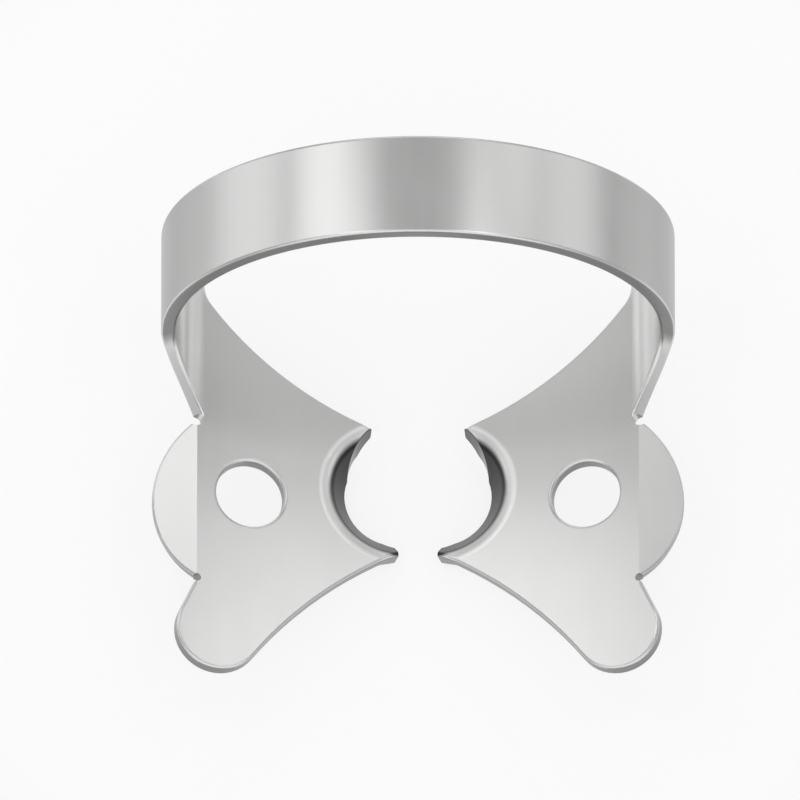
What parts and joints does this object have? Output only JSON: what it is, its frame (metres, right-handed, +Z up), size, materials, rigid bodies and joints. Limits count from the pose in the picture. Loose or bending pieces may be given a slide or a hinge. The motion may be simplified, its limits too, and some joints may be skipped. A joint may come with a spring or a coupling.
{
  "type": "rubber dam clamp",
  "caption": "Winged dental dam clamp in one piece of spring steel: an arched bow, two sloping jaws with forceps holes, down-turned lips and pointed prongs.",
  "frame": {"origin": "on the tooth's axis, midway between the jaws, at the level of the prongs", "axes": "+X across from jaw to jaw, +Y towards the bow at the back, +Z up, away from the gum"},
  "size_m": [0.0258, 0.022, 0.0175],
  "materials": {
    "spring_steel": "satin, tumbled"
  },
  "bodies": {
    "root": {"clamp": "spring_steel"}
  },
  "joints": []
}
